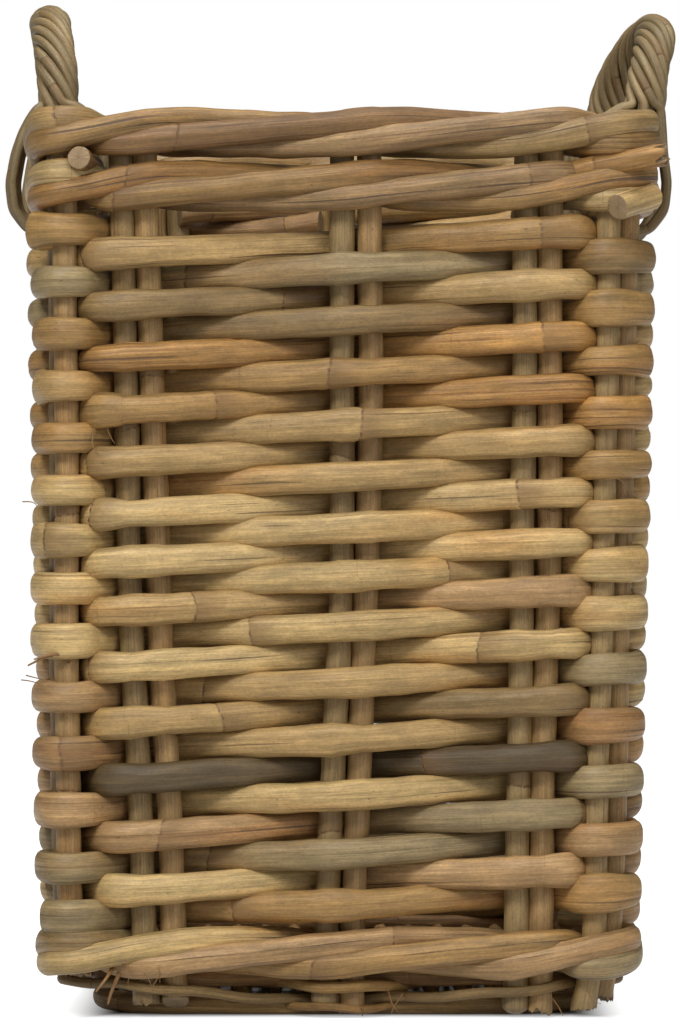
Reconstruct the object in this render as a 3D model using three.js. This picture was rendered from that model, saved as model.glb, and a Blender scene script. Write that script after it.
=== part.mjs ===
// Square rattan basket with two roped handles, in millimetres, +Z up, standing on z = 0.
// Paired upright stakes carry four randing canes that climb the walls in a spiral, a three-rod
// wale at the base, two more at the rim, a foot hoop, a woven base and two handle bows.
// The front wall faces -Y. Walls are numbered 0 front, 1 right, 2 back, 3 left, the way canes travel.
import * as THREE from "three";

// Overall sizes
const HEIGHT = 600; // floor to the top of the rim
const HALF_FOOT = 175; // middle of the basket to the line of a wall's stakes, at the floor
const HALF_RIM = 187; // the same at the rim
const CLEARANCE = 0.4; // between pieces that touch

// Upright stakes
const STAKE_DIAMETER = 16;
const PAIR_GAP = 0.8;
const STAKE_FOOT = 9; // height of the cut lower ends
const STAKE_TOP_DROP = 8; // cut upper ends lie this far below the rim
// Where a wall's pairs stand, from its middle, as shares of half its length
const STATIONS = [
  { name: "left", foot: -0.697, rim: -0.733 },
  { name: "middle", foot: -0.006, rim: 0.037 },
  { name: "right", foot: 0.691, rim: 0.69 },
];
const CORNER_INSET = 2.5; // how far a corner pair's middle lies inside the meeting of two walls
const CORNER_TURNS = [45, 30, 30, 15]; // degrees from a wall to the line of its end corner's pair

// Randing canes
const ROW_COUNT = 26;
const ROW_GAP = 1.1;
const CHASES = 4;
const CANE_DEPTH = 15;
const CORNER_DEPTH = 11; // canes are crushed where they turn a corner
const CORNER_CLEARANCE = 1; // room for the taper into the crushed stretch
const CLIMB_LENGTH = HALF_FOOT + HALF_RIM - 10; // along a wall, for a climb of one row

// Three-rod wales
const WALE_RISE = 23.4; // a rod's climb while it passes outside two groups
const WALE_GAP = 0.6; // between a rod and the one above it
const BAND_GAP = 0.35; // between one band and the next

// Foot and base
const FOOT_HEIGHT = 26.4; // floor to the base wale
const HOOP_WIDTH = 15;
const HOOP_HEIGHT = 14;
const HOOP_CORNER = 46; // radius of the hoop's corners
const HOOP_BENDS = 5; // in each corner
const TWINING_DIAMETER = 7;
const BASE_STICK_DIAMETER = 9.6;
const BASE_STICKS = 4;
const BASE_WEAVER_DIAMETER = 8;
const BASE_WEAVER_PASSES = 12;
const BASE_MARGIN = 11; // from the woven base to the inside of the hoop
const BASE_LAP = 6.5; // how far the sticks lie on the hoop

// Handles
const HANDLE_LEGS = [-0.348 * HALF_RIM, 0.358 * HALF_RIM]; // the two legs' places along the wall
const CORE_DIAMETER = 17;
const WINDING_DIAMETER = 5.5;
const WINDING_TURNS = 3; // whole turns of each of the four passes over the bow
const WINDING_STAND_OFF = 1.05; // between the core and the winding, for its flat steps
const BOW_STEPS = 12;
const TURN_STEPS = 10;
const LASHING_LANE = 8.7; // from a leg's middle to the winding where it goes round the rim
const LASHING_STAND_OFF = 1; // between the wales and a lashing
const OVER_RIM = [[9, 3.15], [1.5, 0.75], [0, -6]]; // its bends: in from its outer face, up from the rim
const UNDER_RIM = [[0, 5], [2, -1.65], [8, -3.15]]; // and in from its face, up from the wales' foot
const HANDLES = [
  { name: "right", wall: 1, height: 82, lean: 27, yaw: 9 },
  { name: "left", wall: 3, height: 88, lean: 20, yaw: 4 },
];

const WALLS = ["front", "right", "back", "left"];
const CORNERS = ["front_right", "back_right", "back_left", "front_left"];
const GROUPS = 16;
const CANE_SECTION = [
  [0.5, -0.26],
  [-0.02, -0.5],
  [-0.5, 0],
  [-0.02, 0.5],
  [0.5, 0.26],
];
const HOOP_SECTION = [
  [0.5, 0.25],
  [0.5, -0.25],
  [0.3, -0.5],
  [-0.3, -0.5],
  [-0.5, 0],
  [-0.3, 0.5],
  [0.3, 0.5],
];
const SHARPEST_BEND = THREE.MathUtils.degToRad(64);
const SOFT_BEND = THREE.MathUtils.degToRad(28);
const CENTRE = new THREE.Vector2();
const STRAW = 0xc4a66e;
const HONEY = 0xb08e5c;
const PINKISH = 0xa5825d;
const OLIVE = 0x96875f;

// Heights that follow: the rim wales hang from the rim, and the rows fill what the wales leave
const ROD_HEIGHT = WALE_RISE / 2 - WALE_GAP;
const BAND_HEIGHT = WALE_RISE + ROD_HEIGHT;
const UPPER_RIM_WALE = HEIGHT - BAND_HEIGHT + ROD_HEIGHT / 2;
const LOWER_RIM_WALE = UPPER_RIM_WALE - BAND_HEIGHT - BAND_GAP;
const BASE_WALE = FOOT_HEIGHT + ROD_HEIGHT / 2;
const ROWS_BOTTOM = FOOT_HEIGHT + BAND_HEIGHT + BAND_GAP + ROW_GAP;
const ROWS_TOP = LOWER_RIM_WALE - ROD_HEIGHT / 2 - BAND_GAP - ROW_GAP;
const ROW_PITCH = (ROWS_TOP - ROWS_BOTTOM + ROW_GAP) / (ROW_COUNT + 1);
const FIRST_ROW = ROWS_BOTTOM + (ROW_PITCH - ROW_GAP) / 2; // where each chase starts

// A point beside a wall: along it to the right as seen from outside, and out from the middle
function onWall(wall, along, out) {
  return new THREE.Vector2(along, -out).rotateAround(CENTRE, (wall * Math.PI) / 2);
}

// How far along a wall a point lies
function alongWall(wall, point) {
  return point.clone().rotateAround(CENTRE, (-wall * Math.PI) / 2).x;
}

function way(heading) {
  return new THREE.Vector2(Math.cos(heading), Math.sin(heading));
}

// The unit vector to the right of a heading, which points out of the basket
function right(heading) {
  return new THREE.Vector2(Math.sin(heading), -Math.cos(heading));
}

function wrap(angle) {
  return Math.atan2(Math.sin(angle), Math.cos(angle));
}

function at(post, z) {
  return post.foot.clone().lerp(post.rim, z / HEIGHT);
}

// Stakes stand in groups of two: three on each wall, and one at the corner where the wall ends
function makeGroups() {
  const half = (STAKE_DIAMETER + PAIR_GAP) / 2;
  const pair = (name, wall, foot, rim, heading, corner) =>
    [-1, 1].map((end, i) => ({
      name: name + "_stake_" + (i + 1),
      foot: foot.clone().addScaledVector(way(heading), end * half),
      rim: rim.clone().addScaledVector(way(heading), end * half),
      radius: STAKE_DIAMETER / 2,
      wallsOn: corner ? i : 0,
      corner,
    }));
  return WALLS.flatMap((wallName, wall) => {
    const bearing = (wall * Math.PI) / 2;
    const turned = bearing + THREE.MathUtils.degToRad(CORNER_TURNS[wall]);
    const low = HALF_FOOT - CORNER_INSET;
    const high = HALF_RIM - CORNER_INSET;
    const cornerName = CORNERS[wall] + "_corner";
    return [
      ...STATIONS.map(({ name, foot, rim }) => {
        const from = onWall(wall, foot * HALF_FOOT, HALF_FOOT);
        const to = onWall(wall, rim * HALF_RIM, HALF_RIM);
        return pair(wallName + "_" + name, wall, from, to, bearing, false);
      }),
      pair(cornerName, wall, onWall(wall, low, low), onWall(wall, high, high), turned, true),
    ];
  });
}

// The posts that a rim wale passes are the stakes, and the handle legs after the pair before them
function withLegs(groups) {
  return groups.map((posts, index) => {
    const wall = Math.floor(index / 4);
    const leg = HANDLE_LEGS[index % 4];
    if (leg === undefined || !HANDLES.some((handle) => handle.wall === wall)) return posts;
    const place = onWall(wall, leg, HALF_RIM);
    return [
      ...posts,
      { foot: place, rim: place, radius: CORE_DIAMETER / 2, wallsOn: 0, corner: false },
    ];
  });
}

// A cane is drawn taut past posts, outside (side 1) or inside (side -1) of each
function passPost(post, side, depth, z) {
  const room = post.corner ? CORNER_CLEARANCE : CLEARANCE;
  const offset = side * (post.radius + room + depth / 2);
  return { centre: at(post, z), offset, depth, z, corner: post.corner };
}

function passPoint(centre, depth, z) {
  return { centre, offset: 0, depth, z, group: null };
}

// Headings of the straight stretches that just touch each pass and the next
function headingsOf(passes) {
  return passes.slice(1).map((b, i) => {
    const between = b.centre.clone().sub(passes[i].centre);
    return between.angle() + Math.asin((passes[i].offset - b.offset) / between.length());
  });
}

// Posts that a taut cane would not touch are left out
function touched(passes) {
  let kept = passes;
  for (;;) {
    const headings = headingsOf(kept);
    const loose = kept.findIndex((pass, i) => {
      if (i < 2 || i > kept.length - 3) return false;
      return pass.offset * wrap(headings[i] - headings[i - 1]) < 0;
    });
    if (loose < 0) return kept;
    kept = kept.filter((_, i) => i !== loose);
  }
}

// The point beside a pass where a stretch of this heading touches it
function besidePass(pass, heading) {
  return pass.centre.clone().addScaledVector(right(heading), pass.offset);
}

// Where the stretch before a pair's first stake meets the stretch after its second
function meeting(first, before, second, after) {
  const from = besidePass(first, before);
  const gap = besidePass(second, after).sub(from).dot(right(after));
  return from.addScaledVector(way(before), gap / way(before).dot(right(after)));
}

// The bends of a cane's centre line. It runs from the middle of the first stretch to the middle
// of the last, less half a clearance at each end.
function route(allPasses) {
  const passes = touched(allPasses);
  const headings = headingsOf(passes);
  const bends = [];
  const add = (point, pass, heading, half, merged) =>
    bends.push({ point, pass, heading, mitre: 1 / Math.cos(half), z: pass.z, merged });
  const halfway = (i, shift) =>
    besidePass(passes[i], headings[i])
      .add(besidePass(passes[i + 1], headings[i]))
      .multiplyScalar(0.5)
      .addScaledVector(way(headings[i]), shift);
  add(halfway(0, CLEARANCE / 2), passes[1], headings[0], 0, true);
  for (let i = 1; i < passes.length - 1; i++) {
    const pass = passes[i];
    const turn = wrap(headings[i] - headings[i - 1]);
    const paired = i < passes.length - 2 && pass.group >= 0 && pass.group === passes[i + 1].group;
    const next = paired ? wrap(headings[i + 1] - headings[i]) : Infinity;
    if (Math.abs(turn) < SOFT_BEND && Math.abs(next) < SOFT_BEND) {
      const second = passes[i + 1];
      const point = meeting(pass, headings[i - 1], second, headings[i + 1]);
      add(point, pass, headings[i - 1] + (turn + next) / 2, (turn + next) / 2, pass.corner);
      const across = second.centre.clone().sub(pass.centre);
      const share = point.clone().sub(pass.centre).dot(across) / across.lengthSq();
      bends[bends.length - 1].z += (second.z - pass.z) * share;
      i += 1;
      continue;
    }
    const parts = Math.max(1, Math.ceil(Math.abs(turn) / SHARPEST_BEND));
    for (let part = 0; part < parts; part++) {
      const heading = headings[i - 1] + (turn * (part + 0.5)) / parts;
      const half = turn / parts / 2;
      const reach = pass.offset / Math.cos(half);
      const point = pass.centre.clone().addScaledVector(right(heading), reach);
      add(point, pass, heading, half, false);
    }
  }
  const last = headings.length - 1;
  add(halfway(last, -CLEARANCE / 2), passes[last], headings[last], 0, true);
  return bends;
}

// A closed tube through rings of points that all go round the same way
function tubeOf(rings) {
  const sides = rings[0].length;
  const faces = [];
  for (let ring = 0; ring < rings.length - 1; ring++)
    for (let side = 0; side < sides; side++) {
      const a = ring * sides + side;
      const b = ring * sides + ((side + 1) % sides);
      faces.push(a, b, a + sides, b, b + sides, a + sides);
    }
  const last = (rings.length - 1) * sides;
  for (let side = 1; side < sides - 1; side++) {
    faces.push(0, side + 1, side);
    faces.push(last, last + side, last + side + 1);
  }
  const geometry = new THREE.BufferGeometry().setFromPoints(rings.flat());
  geometry.setIndex(faces);
  return geometry;
}

// A cane whose section stands upright on its bends
function caneOf(bends, height, section) {
  return tubeOf(
    bends.map((bend) =>
      section.map(([across, up]) => {
        const reach = across * bend.pass.depth * bend.mitre;
        const side = bend.point.clone().addScaledVector(right(bend.heading), reach);
        return new THREE.Vector3(side.x, side.y, bend.z + up * height);
      }),
    ),
  );
}

// A round strand through points in space, its section carried along without twist
function strandOf(points, diameter, sides) {
  const last = points.length - 1;
  const side = new THREE.Vector3(0.1, 0.2, 1);
  const rings = points.map((point, i) => {
    const ahead = points[Math.min(i + 1, last)].clone().sub(points[Math.max(i - 1, 0)]);
    ahead.normalize();
    side.addScaledVector(ahead, -side.dot(ahead)).normalize();
    const up = ahead.clone().cross(side);
    return Array.from({ length: sides }, (_, k) => {
      const angle = (2 * Math.PI * k) / sides;
      return point
        .clone()
        .addScaledVector(side, (diameter / 2) * Math.cos(angle))
        .addScaledVector(up, (diameter / 2) * Math.sin(angle));
    });
  });
  return tubeOf(rings);
}

const basket = new THREE.Group();

function addPiece(name, geometry, color, roughness) {
  geometry.computeVertexNormals();
  const material = new THREE.MeshStandardMaterial({ color, roughness, metalness: 0 });
  material.flatShading = true;
  const mesh = new THREE.Mesh(geometry, material);
  mesh.name = name;
  basket.add(mesh);
  return mesh;
}

// A straight rod between two points
function addRod(name, from, to, diameter, sides, color) {
  const axis = to.clone().sub(from);
  const rod = new THREE.CylinderGeometry(diameter / 2, diameter / 2, axis.length(), sides);
  const mesh = addPiece(name, rod, color, 0.6);
  mesh.quaternion.setFromUnitVectors(new THREE.Vector3(0, 1, 0), axis.normalize());
  mesh.position.copy(from.clone().add(to).multiplyScalar(0.5));
}

// Stakes lean out a little from the foot to the rim
function addStakes(groups) {
  const top = HEIGHT - STAKE_TOP_DROP;
  for (const post of groups.flat()) {
    const low = at(post, STAKE_FOOT);
    const high = at(post, top);
    const from = new THREE.Vector3(low.x, low.y, STAKE_FOOT);
    addRod(post.name, from, new THREE.Vector3(high.x, high.y, top), STAKE_DIAMETER, 8, HONEY);
  }
}

// Randing: the first and third canes pass outside corners and middle pairs, the others inside.
// Each chase is pieced from two lengths that meet between the stakes of a corner pair.
function addRanding(groups) {
  const walls = ROW_COUNT / 2;
  for (let chase = 0; chase < CHASES; chase++) {
    const climb = (wall, along) =>
      FIRST_ROW + ROW_PITCH * (wall - chase + (along + CLIMB_LENGTH / 2) / CLIMB_LENGTH);
    ["lower", "upper"].forEach((part, half) => {
      const start = chase + half * walls;
      const passes = [];
      for (let group = 4 * start - 1; group < 4 * (start + walls); group++)
        for (const post of groups[(group + GROUPS) % GROUPS]) {
          const wall = Math.floor(group / 4) + post.wallsOn;
          const side = (group + chase) % 2 ? 1 : -1;
          const depth = post.corner ? CORNER_DEPTH : CANE_DEPTH;
          const z = climb(wall, alongWall(wall, at(post, HEIGHT / 2)));
          passes.push({ ...passPost(post, side, depth, z), group, wall, first: !post.wallsOn });
        }
      const bends = route(passes);
      for (const bend of bends) {
        const { wall, corner, first } = bend.pass;
        const corners = climb(first ? wall + 1 : wall, -CLIMB_LENGTH / 2);
        const level = climb(wall, alongWall(wall, bend.point));
        bend.z = first ? Math.min(level, corners) : Math.max(level, corners);
        if (!corner) bend.z = level;
        if (bend.merged) bend.z = corners;
      }
      const name = "randing_cane_" + (chase + 1) + "_" + part;
      const cane = caneOf(bends, ROW_PITCH - ROW_GAP, CANE_SECTION);
      addPiece(name, cane, half ? HONEY : STRAW, 0.55);
    });
  }
}

// Along each wall, the middles of the four gaps between its groups, and its corners' distance
function gapsOf(groups, z) {
  const middle = (group, wall) => {
    const posts = groups[(group + GROUPS) % GROUPS];
    const next = groups[(group + 1 + GROUPS) % GROUPS];
    return alongWall(wall, at(posts[posts.length - 1], z).add(at(next[0], z)).multiplyScalar(0.5));
  };
  const corner = THREE.MathUtils.lerp(HALF_FOOT, HALF_RIM, z / HEIGHT) - CORNER_INSET;
  return WALLS.map((_, wall) => {
    const marks = [-1, 0, 1, 2].map((step) => middle(4 * wall + step, wall));
    return { marks, corner };
  });
}

// Three-rod wale: each rod passes outside two groups, climbing, and inside the third, dropping.
// The rods follow one another in one strand that goes round three times, cut at three groups.
function addWale(name, groups, low, cuts) {
  const gaps = gapsOf(groups, low);
  const strand = 3 * GROUPS;
  const level = (share) => low + WALE_RISE * share;
  const depthAt = (post) => (post.corner ? CORNER_DEPTH : CANE_DEPTH);

  // How far a bend lies through its group's stretch, from the gap before to the gap after
  const through = ({ point, pass, merged }) => {
    const index = pass.group % GROUPS;
    const wall = Math.floor(index / 4);
    const { marks, corner } = gaps[wall];
    if (!pass.corner) {
      const [from, to] = [marks[index % 4], marks[(index % 4) + 1]];
      return (alongWall(wall, point) - from) / (to - from);
    }
    const before = corner - marks[3];
    const after = corner + gaps[(wall + 1) % 4].marks[0];
    if (merged) return before / (before + after);
    if (pass.first) return Math.min(alongWall(wall, point) - marks[3], before) / (before + after);
    return (before + Math.max(alongWall(wall + 1, point) + corner, 0)) / (before + after);
  };

  cuts.forEach((cut, index) => {
    const end = index < 2 ? cuts[index + 1] : cuts[0] + strand;
    const passes = [];
    for (let group = cut; group <= end; group++) {
      const phase = group % 3;
      const side = phase === 2 ? -1 : 1;
      for (const post of groups[group % GROUPS]) {
        const pass = passPost(post, side, depthAt(post), level(0.5));
        passes.push({ ...pass, group, phase, first: !post.wallsOn });
      }
      if (group === end) break;
      const before = passes[passes.length - 1];
      const next = groups[(group + 1) % GROUPS][0];
      const after = passPost(next, 1, depthAt(next), level(0.5));
      const gap = before.centre.clone().lerp(after.centre, 0.5);
      if (phase === 0) {
        const out = right(after.centre.clone().sub(before.centre).angle());
        gap.addScaledVector(out, (before.offset + after.offset) / 2);
      }
      passes.push(passPoint(gap, CANE_DEPTH, level([0.5, 1, 0][phase])));
    }
    const bends = route(passes);
    for (const bend of bends) {
      if (bend.pass.group === null) continue;
      const share = through(bend);
      bend.z = level([share / 2, (1 + share) / 2, 1 - share][bend.pass.phase]);
    }
    const rod = caneOf(bends, ROD_HEIGHT, CANE_SECTION);
    addPiece(name + "_rod_" + (index + 1), rod, PINKISH, 0.6);
  });
}

// The hoop that the basket stands on: a square with round corners, its ends butted at the back
function addHoop() {
  const stakeLine = THREE.MathUtils.lerp(HALF_FOOT, HALF_RIM, STAKE_FOOT / HEIGHT);
  const reach = stakeLine - STAKE_DIAMETER / 2 - CLEARANCE - HOOP_WIDTH / 2;
  const turn = Math.PI / 2 / HOOP_BENDS;
  const pass = { depth: HOOP_WIDTH };
  const bends = [];
  const add = (point, heading, half) =>
    bends.push({ point, heading, mitre: 1 / Math.cos(half), z: HOOP_HEIGHT / 2, pass });
  add(onWall(2, CLEARANCE / 2, reach), Math.PI, 0);
  for (let wall = 2; wall < 6; wall++)
    for (let step = 0; step < HOOP_BENDS; step++) {
      const heading = (wall * Math.PI) / 2 + turn * (step + 0.5);
      const corner = onWall(wall, reach - HOOP_CORNER, reach - HOOP_CORNER);
      const out = HOOP_CORNER / Math.cos(turn / 2);
      add(corner.addScaledVector(right(heading), out), heading, turn / 2);
    }
  add(onWall(2, -CLEARANCE / 2, reach), Math.PI, 0);
  addPiece("foot_hoop", caneOf(bends, HOOP_HEIGHT, HOOP_SECTION), HONEY, 0.6);
}

// A thin cane twined in and out through the stakes' feet, above the hoop
function addTwining(groups) {
  const z = (HOOP_HEIGHT + FOOT_HEIGHT + CLEARANCE) / 2;
  const passes = [];
  for (let group = -1; group < GROUPS; group++)
    for (const post of groups[(group + GROUPS) % GROUPS])
      passes.push({ ...passPost(post, group % 2 ? 1 : -1, TWINING_DIAMETER, z), group });
  const cane = caneOf(route(passes), TWINING_DIAMETER, CANE_SECTION);
  addPiece("foot_twining_cane", cane, OLIVE, 0.6);
}

// Base: sticks that rest on the hoop, and one weaver that runs to and fro over and under them
function addBase() {
  const inner = HALF_FOOT - STAKE_DIAMETER / 2 - CLEARANCE - HOOP_WIDTH;
  const z = HOOP_HEIGHT + CLEARANCE + BASE_STICK_DIAMETER / 2;
  const reach = inner + BASE_LAP;
  const spacing = (2 * inner) / BASE_STICKS;
  const sticks = Array.from({ length: BASE_STICKS }, (_, i) => spacing * (i + 0.5) - inner);
  sticks.forEach((y, i) =>
    addRod(
      "base_stick_" + (i + 1),
      new THREE.Vector3(-reach, y, z),
      new THREE.Vector3(reach, y, z),
      BASE_STICK_DIAMETER,
      8,
      HONEY,
    ),
  );
  const lift = BASE_STICK_DIAMETER / 2 + BASE_WEAVER_DIAMETER / 2 + CLEARANCE;
  const half = inner - BASE_MARGIN;
  const pitch = (2 * half) / (BASE_WEAVER_PASSES - 1);
  const points = [];
  for (let pass = 0; pass < BASE_WEAVER_PASSES; pass++) {
    const x = pitch * pass - half;
    const ahead = pass % 2 ? -1 : 1;
    const order = pass % 2 ? [...sticks].reverse() : sticks;
    order.forEach((y) => {
      const over = (sticks.indexOf(y) + pass) % 2 ? 1 : -1;
      points.push(new THREE.Vector3(x, y, z + over * lift));
    });
    const edge = ahead * (half - pitch / 2);
    const last = (sticks.indexOf(order[order.length - 1]) + pass) % 2 ? 1 : -1;
    for (let step = 0; step <= 2 && pass < BASE_WEAVER_PASSES - 1; step++) {
      const angle = (Math.PI * step) / 2;
      const side = (pitch / 2) * (1 - Math.cos(angle));
      const out = edge + ahead * (pitch / 2) * Math.sin(angle);
      points.push(new THREE.Vector3(x + side, out, z + lift * last * Math.cos(angle)));
    }
  }
  addPiece("base_weaver", strandOf(points, BASE_WEAVER_DIAMETER, 5), STRAW, 0.6);
}

// Handles: a core bow whose legs stand in the rim, and one cane wound over it four times, which
// is lashed round both rim wales at each leg.
function addHandle({ name, wall, height, lean, yaw }) {
  const place = (along, out, z) => {
    const flat = onWall(wall, along, HALF_RIM + out);
    return new THREE.Vector3(flat.x, flat.y, z);
  };
  const [near, far] = HANDLE_LEGS;
  const middle = (near + far) / 2;
  const legs = HEIGHT + WINDING_DIAMETER + CLEARANCE;
  const thick = WINDING_DIAMETER / 2;
  const round = CORE_DIAMETER / 2 + WINDING_STAND_OFF + thick;
  const rise = HEIGHT + height - round - thick - legs;
  const bow = (share) => {
    const angle = Math.PI * share;
    const out = (lean + yaw * Math.cos(angle)) * Math.sin(angle);
    return place(middle - (middle - near) * Math.cos(angle), out, legs + rise * Math.sin(angle));
  };
  const bottom = LOWER_RIM_WALE - ROD_HEIGHT / 2;
  const core = [place(near, 0, bottom), place(near, 0, HEIGHT)];
  for (let step = 0; step <= BOW_STEPS; step++) core.push(bow(step / BOW_STEPS));
  core.push(place(far, 0, HEIGHT), place(far, 0, bottom));
  addPiece(name + "_handle_core", strandOf(core, CORE_DIAMETER, 8), OLIVE, 0.65);

  // A pass over the bow, from the near leg to the far one or back
  const outward = place(0, 1, 0).sub(place(0, 0, 0));
  const wind = (strand, back) => {
    const all = WINDING_TURNS * TURN_STEPS;
    const start = (Math.PI / 2) * strand - Math.PI / 4;
    const points = [];
    for (let step = 0; step <= all; step++) {
      const share = step / all;
      const ahead = bow(Math.min(share + 0.01, 1)).sub(bow(Math.max(share - 0.01, 0))).normalize();
      const side = outward.clone().addScaledVector(ahead, -outward.dot(ahead)).normalize();
      const up = ahead.clone().cross(side);
      const angle = start + (2 * Math.PI * step) / TURN_STEPS;
      points.push(
        bow(share)
          .addScaledVector(side, round * Math.cos(angle))
          .addScaledVector(up, round * Math.sin(angle)),
      );
    }
    return back ? points.reverse() : points;
  };
  // A lashing down one side of the rim, from the top of a leg to just under the lower wale
  const face = CORE_DIAMETER / 2 + 2 * CLEARANCE + CANE_DEPTH + LASHING_STAND_OFF + thick;
  const drop = (leg, lane, side) => [
    ...OVER_RIM.map(([inward, up]) => place(leg + lane, side * (face - inward), HEIGHT + up)),
    ...UNDER_RIM.map(([inward, up]) => place(leg + lane, side * (face - inward), bottom + up)),
  ];
  const lane = LASHING_LANE;
  const tuck = (side) => place(near - side * lane, side * 2, bottom - CLEARANCE - thick);
  const path = [
    tuck(1),
    ...drop(near, -lane, 1).reverse(),
    ...wind(0, false),
    ...drop(far, lane, 1),
    ...drop(far, lane, -1).reverse(),
    ...wind(3, true),
    ...drop(near, -lane, -1),
    ...drop(near, lane, 1).reverse(),
    ...wind(1, false),
    ...drop(far, -lane, 1),
    ...drop(far, -lane, -1).reverse(),
    ...wind(2, true),
    ...drop(near, lane, -1),
    tuck(-1),
  ];
  addPiece(name + "_handle_winding", strandOf(path, WINDING_DIAMETER, 5), OLIVE, 0.65);
  console.log(name + " handle winding, least gap to itself: " + leastGap(path).toFixed(2) + " mm");
}

// The least gap between stretches of a strand that lie more than four diameters apart along it
function leastGap(path) {
  const fine = [];
  let run = 0;
  for (let i = 1; i < path.length; i++)
    for (let part = 0; part < 4; part++) {
      const point = path[i - 1].clone().lerp(path[i], part / 4);
      if (fine.length) run += point.distanceTo(fine[fine.length - 1].point);
      fine.push({ point, run });
    }
  let least = Infinity;
  for (const a of fine)
    for (const b of fine)
      if (b.run - a.run > 4 * WINDING_DIAMETER)
        least = Math.min(least, a.point.distanceTo(b.point) - WINDING_DIAMETER);
  return least;
}

const groups = makeGroups();
const rimGroups = withLegs(groups);
addStakes(groups);
addRanding(groups);
addWale("base_wale", groups, BASE_WALE, [5, 20, 38]);
addWale("lower_rim_wale", rimGroups, LOWER_RIM_WALE, [8, 26, 41]);
addWale("upper_rim_wale", rimGroups, UPPER_RIM_WALE, [2, 17, 35]);
addHoop();
addTwining(groups);
addBase();
HANDLES.forEach(addHandle);

// The origin lies on the floor under the middle of the whole
const whole = new THREE.Box3().setFromObject(basket, true).getCenter(new THREE.Vector3());
basket.position.set(-whole.x, -whole.y, 0);

export default basket;
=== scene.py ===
"""Square rattan basket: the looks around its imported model. Metres, +Z up, front wall towards -Y.

Every cane is drawn again as a taut band past the stakes, the way the model's canes run, with a
round section, growth nodes, splits and cut ends. Constants are in millimetres unless they say so.
"""
import math
import zlib

import bpy
import numpy as np
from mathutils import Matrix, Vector


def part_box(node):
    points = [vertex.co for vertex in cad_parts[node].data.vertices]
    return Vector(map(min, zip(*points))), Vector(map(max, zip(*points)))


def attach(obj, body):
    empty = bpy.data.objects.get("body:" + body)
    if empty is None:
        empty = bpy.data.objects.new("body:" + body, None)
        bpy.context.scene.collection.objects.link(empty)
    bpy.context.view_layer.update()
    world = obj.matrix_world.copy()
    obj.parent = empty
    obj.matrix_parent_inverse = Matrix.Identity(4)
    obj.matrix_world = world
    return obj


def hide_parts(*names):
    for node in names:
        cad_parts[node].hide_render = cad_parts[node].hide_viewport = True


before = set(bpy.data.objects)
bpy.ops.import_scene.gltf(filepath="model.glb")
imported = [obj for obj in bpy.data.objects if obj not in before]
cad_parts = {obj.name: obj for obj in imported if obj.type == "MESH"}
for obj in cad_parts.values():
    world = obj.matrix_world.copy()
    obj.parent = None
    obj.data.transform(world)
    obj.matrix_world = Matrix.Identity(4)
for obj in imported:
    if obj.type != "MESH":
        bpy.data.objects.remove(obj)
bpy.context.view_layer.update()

MM = 0.001
WALLS = ("front", "right", "back", "left")
CORNERS = ("front_right", "back_right", "back_left", "front_left")
GROUPS = 16

# The photograph, 680 x 1030 pixels, and the camera that took it
PHOTO_LONG_SIDE = 1030
FOCAL_PIXELS = 4323
SENSOR = 36  # mm
CAMERA_PLACE = (-0.0038, -3.03, 0.360)
CAMERA_DROP = 0.56  # degrees below level

# Light, in metres and watts: each lamp's place, what it points at, its power and its size
LAMPS = {
    "key": ((-1.1, -2.7, 2.5), (0, 0, 0.35), 79, 1.2),
    "fill": ((1.7, -2.2, 1.3), (0, 0, 0.3), 21, 1.8),
    "top": ((0.1, -0.4, 2.6), (0, 0, 0.4), 38, 1.4),
}
WORLD_LIGHT = 0.13
FLOOR_REACH = 30
FLOOR_ALBEDO = 0.45
FLOOR_GLOW = 0.96  # what the camera sees of the white floor in full shadow
GLOW_STARTS = (0.15, 0.19)  # from the middle of the floor, which stays dark under the basket

# Canes
CANE_DEPTH = 16.5
CANE_HEIGHT = 20.5  # where it passes a pair of stakes
CROSSING_HEIGHT = 19.3  # where rows cross between pairs
CORNER_DEPTH = 13
CORNER_HEIGHT = 22
NOSE_DROP = 4  # of a cane that goes behind a corner pair
NOSE_REACH = 8  # how far such a cane runs on past the pair before it
MOST_LEAN = 0.95  # sine of the steepest way across a gap between stakes
TOP_LENGTH_CHASE = 2  # the chase whose last length starts with a cut end at the front left corner
TOP_LENGTH_REACH = 10  # from that corner's first stake back to the cut
CONTACT = 0.2
CHASES = 4
ROWS = 26
ROW_GAP = 1.1  # in the model, between rows
CLIMB_LENGTH = 352
ROW_SHIFTS = ((0, -3), (2, -5), (5, 0), (11, 7), (15, 1), (26, -2))  # row, its height off even spacing
NODE_SWELL, NODE_GROOVE = (0.04, 7), (0.05, 1.8)  # share of the radius and reach along the cane
CRACK_REACH = 0.15  # round the cane, in radians
CREASE = 50  # degrees, from which an edge is sharp
END_RINGS = (0.93, 0.8, 0.6, 0.35, 0.1)  # over a cut face, as shares of its edge
STEP = 2.6  # along a woven cane, between rings of its mesh
LONG_STEP = 3.0  # the same for stakes, handle cores and canes of the base
FAR_FROM_NODES = 60.0
SOFTENING = 7  # how far a stiff cane's bends are rounded off

# Wales
ROD_DEPTH = 16
ROD_HEIGHT = 18.5
ROD_RISE = 19  # from its low pass to its high one
ROD_RISE_MADE_UP = 1.45  # for what smoothing takes of the rise
# By phase, a rod's level at its group's first and last post and in the gap after them
ROD_LEVELS = ((-0.62, -0.4, 0.0), (0.4, 0.62, 0.62), (0.35, -0.35, -0.62))
RIM_SHADE = 0.74  # the rim's rods have darkened

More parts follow.
